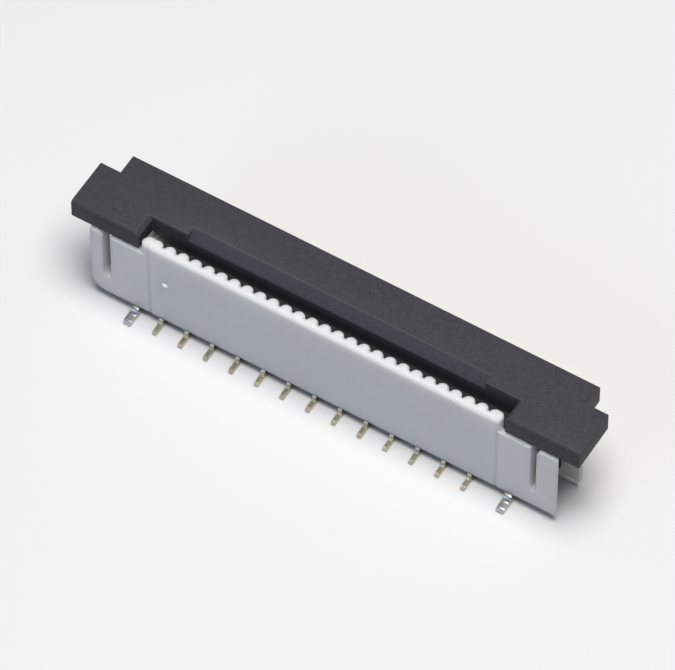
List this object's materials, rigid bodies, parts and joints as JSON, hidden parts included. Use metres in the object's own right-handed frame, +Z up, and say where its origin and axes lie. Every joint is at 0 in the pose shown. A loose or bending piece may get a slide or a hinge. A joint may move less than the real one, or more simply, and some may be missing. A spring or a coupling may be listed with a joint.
{
  "type": "fpc connector",
  "caption": "Upright surface-mount connector for a flat flexible cable, with a toothed housing, staggered solder tails and a push-down slider that clamps the cable.",
  "frame": {"origin": "on the circuit board's surface, in the middle of the connector's length and depth", "axes": "+X along the row of contacts from the first to the last, +Y from the toothed cable side to the rear, +Z up out of the board, along the cable and the slider's travel"},
  "size_m": [0.039, 0.0076, 0.0089],
  "materials": {
    "housing": "natural, slightly translucent moulded nylon, satin",
    "slider": "black glass-filled nylon with a fine moulded grain",
    "contacts": "stamped phosphor bronze, tin plated, with cut edges",
    "nails": "stamped brass strip, tin plated, with cut edges"
  },
  "bodies": {
    "base": {"housing": "housing", "contact_01": "contacts", "contact_02": "contacts", "contact_03": "contacts", "contact_04": "contacts", "contact_05": "contacts", "contact_06": "contacts", "contact_07": "contacts", "contact_08": "contacts", "contact_09": "contacts", "contact_10": "contacts", "contact_11": "contacts", "contact_12": "contacts", "contact_13": "contacts", "contact_14": "contacts", "contact_15": "contacts", "contact_16": "contacts", "contact_17": "contacts", "contact_18": "contacts", "contact_19": "contacts", "contact_20": "contacts", "contact_21": "contacts", "contact_22": "contacts", "contact_23": "contacts", "contact_24": "contacts", "contact_25": "contacts", "contact_26": "contacts", "fitting_nail_left": "nails", "fitting_nail_right": "nails"},
    "lock": {"slider": "slider"}
  },
  "joints": [
    {"name": "slider_travel", "type": "slide", "parent": "base", "child": "lock", "axis": [0, 0, 1], "range_m": [0, 0.0018]}
  ]
}
